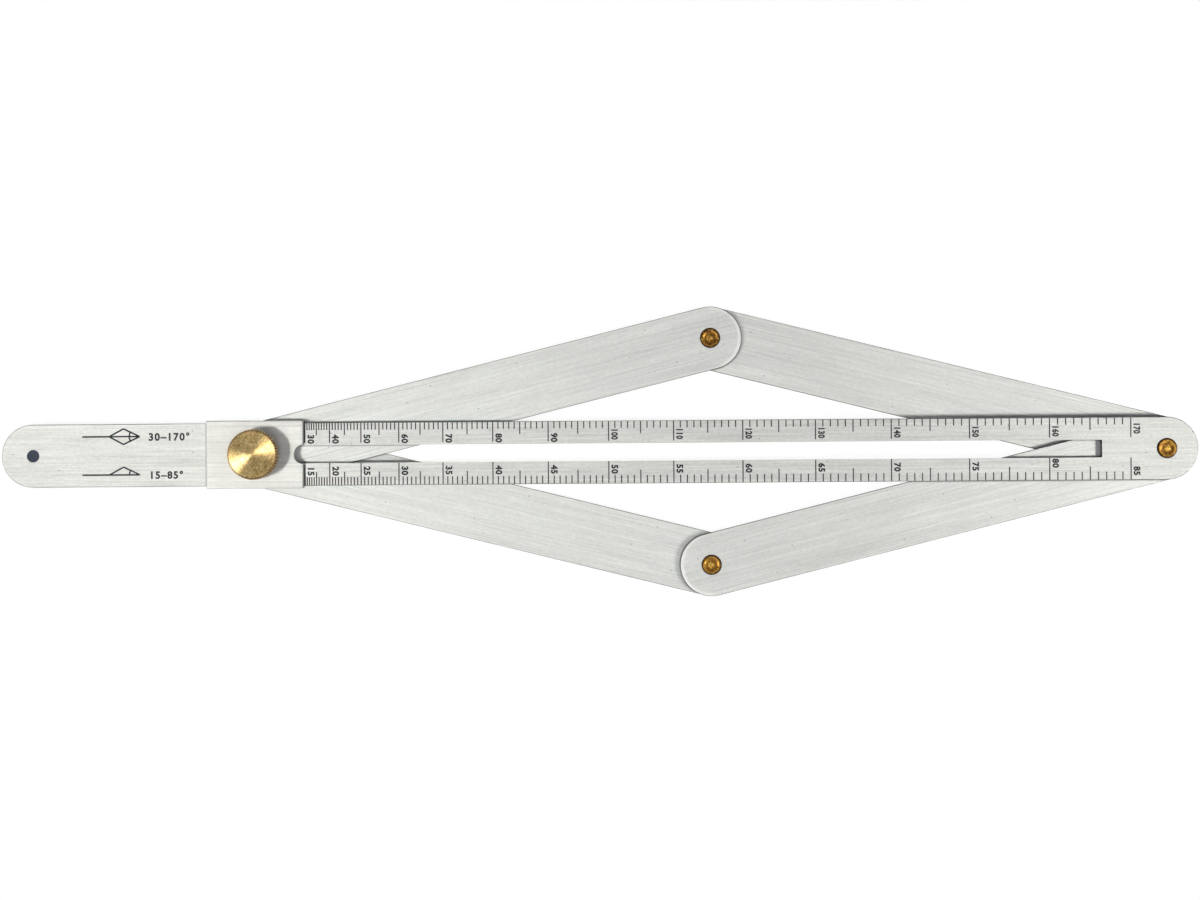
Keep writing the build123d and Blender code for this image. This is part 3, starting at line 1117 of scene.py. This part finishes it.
rivet_places = {
    "upper_elbow_rivet": (upper_elbow, "upper_gauge", 1.0),
    "lower_elbow_rivet": (lower_elbow, "lower_gauge", 0.6),
    "end_pivot_rivet": (end_pivot, "rule", 0.6),
}
for node, (centre, body, browning) in rivet_places.items():
    low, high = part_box(node)
    outside = (high.x - low.x) / 2 / mm
    profile = rivet_profile(high.z / mm, low.z / mm, outside)
    metal = rivet_brass(node + "_brass", (centre.x, centre.y, 0), outside * mm, browning)
    rivet = turned_part(node + "_detailed", centre, profile, metal, steps=72)
    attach(rivet, body)
    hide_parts(node)

# %% [markdown]
# ## The table
# The photograph is a cut-out on white.  A floor that merely were white would grey towards the edges, so it
# shows the camera nearly plain white, and the same to metal that mirrors it, with a little of its true shade
# added for the shadows.  To everything else it stays an ordinary pale floor, so that light still comes back
# from it.  The hang hole shows a deep blue grey, which is a painted shadow: a small dark spot on the floor.
# It stands where the camera looks through the hole, a little further out than the hole itself.  So the
# camera's height over the rule is settled here already.


# %% The floor's material
camera_height = 1.0
# A painted shadow on the floor, seen through the hang hole.
hole_shadow_radius = 3.0
hole_shadow_blur = 0.2
hole_shadow_colour = (0.036, 0.046, 0.072)
nearly_white = (0.95, 0.95, 0.95)
shadow_share = (0.08, 0.08, 0.08)
pale_floor = (0.8, 0.8, 0.8)


def spot_behind_hole():
    """The centre of the painted shadow: where the camera's line of sight through the middle of the hang hole
    meets the floor.
    """
    lens_level = camera_height + rule_top
    hole_level = (rule_low.z + rule_high.z) / 2
    hole_x = rule_low.x + rule_high.y
    return hole_x * lens_level / (lens_level - hole_level)


def floor_white():
    """Plain white with a faint shadow and a painted shadow behind the hang hole to the camera and in mirrors,
    and a pale floor to all other light.
    """
    material, tree = new_material("floor_white")
    from_hole_shadow = radius_from(tree, place_in(tree, (spot_behind_hole(), 0, 0)))
    # Painted shadow: dark inside the spot, white outside it.
    off_hole_shadow = soft_step(tree, from_hole_shadow, hole_shadow_radius - hole_shadow_blur, hole_shadow_radius + hole_shadow_blur)
    shown = mix_colours(tree, off_hole_shadow, hole_shadow_colour, nearly_white)
    glow = tree.node("ShaderNodeEmission", {}, {"Color": shown})
    faint = tree.node("ShaderNodeBsdfDiffuse", {}, {"Color": shadow_share})
    seen_white = tree.node("ShaderNodeAddShader", {}, {0: glow, 1: faint})
    diffuse = tree.node("ShaderNodeBsdfDiffuse", {}, {"Color": pale_floor})
    from_camera, mirrored = rays(tree)
    seen = from_camera.of("MAXIMUM", mirrored)
    surface = tree.node("ShaderNodeMixShader", {}, {0: seen, 1: diffuse, 2: seen_white})
    tree.node("ShaderNodeOutputMaterial", {}, {"Surface": surface})
    return material


# %% The floor
floor_size = 4.0
half = floor_size / 2
level = -0.02 * mm
corners = [(-half, -half, level), (half, -half, level), (half, half, level), (-half, half, level)]
floor_mesh = plain_mesh("floor", corners, [], [(0, 1, 2, 3)])
floor_mesh.materials.append(floor_white())
floor = add_object("floor", floor_mesh)
floor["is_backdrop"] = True
print("floor", floor_size, "m wide")

# %% [markdown]
# ## Light and camera
# Three lamps give the shadows of the photograph.  One on the left makes the bright wedges of the knob and
# the shadow to its right.  One on the right stands lower.  Both are narrowed as by a grid, so that each
# lights mostly its own end of the tool: that is the area lamp's spread.  The third is wide and stands in
# front.  It leaves no shadow to the left or right, but a thin dark one beyond the rule's far edge, as both
# others do.
# The sky adds very little, or the crevices between the bars would not be dark.  To the camera it is plain
# white, like the floor, and so is its lowest part to metal that mirrors it.


# %% The sky and the lamps
sky_low = (0.06, 0.06, 0.07)
sky_overhead = (0.22, 0.228, 0.26)
white = (1.0, 1.0, 1.0)


def sky():
    """A dim sky, lightest overhead, which is white to the camera."""
    world = bpy.data.worlds.new("sky")
    world.use_nodes = True
    world.node_tree.nodes.clear()
    tree = Tree(world.node_tree)
    direction = tree.node("ShaderNodeTexCoord").out("Generated")
    height = tree.node("ShaderNodeSeparateXYZ", {}, {"Vector": direction}).out("Z")
    colour = mix_colours(tree, soft_step(tree, height, 0.2, 0.9), sky_low, sky_overhead)
    from_camera, mirrored = rays(tree)
    low_part = mirrored * (1 - soft_step(tree, height, 0.08, 0.25))
    seen = from_camera.of("MAXIMUM", low_part)
    shown = mix_colours(tree, seen, colour, white)
    background = tree.node("ShaderNodeBackground", {}, {"Color": shown, "Strength": 1.0})
    tree.node("ShaderNodeOutputWorld", {}, {"Surface": background})
    return world


def lamp(name, place, aim, size, spread, power, colour):
    """A square lamp at a place, turned to look at its aim."""
    light = bpy.data.lights.new(name, "AREA")
    light.size = size
    light.spread = math.radians(spread)
    light.energy = power
    light.color = colour
    away = Vector(place) - Vector(aim)
    holder = add_object(name, light)
    holder.location = place
    holder.rotation_euler = away.to_track_quat("Z", "Y").to_euler()
    print(name, "stands", round(away.length, 2), "m away")


bpy.context.scene.world = sky()
lamps = {
    "left_lamp": {
        "place": (-0.98, -0.27, 1.22),
        "aim": (-0.23, -0.01, 0.0),
        "size": 0.44,
        "spread": 15,
        "power": 0.53,
        "colour": (1.0, 0.99, 0.95),
    },
    "right_lamp": {
        "place": (1.27, -0.36, 1.0),
        "aim": (0.33, -0.04, 0.0),
        "size": 0.34,
        "spread": 21,
        "power": 0.66,
        "colour": (1.0, 0.99, 0.96),
    },
    "front_lamp": {
        "place": (-0.12, -0.6, 1.4),
        "aim": (0.0, 0.0, 0.0),
        "size": 0.5,
        "spread": 180,
        "power": 2.45,
        "colour": (1.0, 0.995, 0.97),
    },
}
for name, settings in lamps.items():
    lamp(name, **settings)

# %% [markdown]
# The camera hangs straight over the tool.  The photograph shows the rule turned by less than half a degree,
# so the camera is turned back by as much.  Its lens follows from the width of the view at the rule's top,
# and it aims a pixel or two beside the middle of the tool, as the photograph does.

# %% The camera
view_width = 476.2 * mm
picture_width = 1200
sensor_width = 36
aim_right = -0.15
aim_up = 2.15
tilt = math.radians(-0.41)
pixel = view_width / picture_width
camera_data = bpy.data.cameras.new("camera")
camera_data.sensor_width = sensor_width
camera_data.lens = sensor_width * camera_height / view_width
camera = add_object("camera", camera_data)
right = Vector((math.cos(tilt), math.sin(tilt), 0))
up = Vector((-math.sin(tilt), math.cos(tilt), 0))
camera.location = (right * aim_right + up * aim_up) * pixel + Vector((0, 0, camera_height + rule_top))
camera.rotation_euler = (0, 0, tilt)
bpy.context.scene.camera = camera
bpy.context.scene.view_settings.view_transform = "Standard"
print("lens", round(camera_data.lens, 1), "mm")

# %% [markdown]
# ## Sizes and the end
# The boxes round the CAD assembly and round the finished model are printed side by side.  The finished
# model must not be larger than the CAD assembly.

# %% Sizes and the end
visual_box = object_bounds()
boxes = {"cad": [list(corner) for corner in cad_box], "visual": [list(corner) for corner in visual_box]}
for name, (low, high) in boxes.items():
    print(name, [round((b - a) / mm, 2) for a, b in zip(low, high)], "mm")
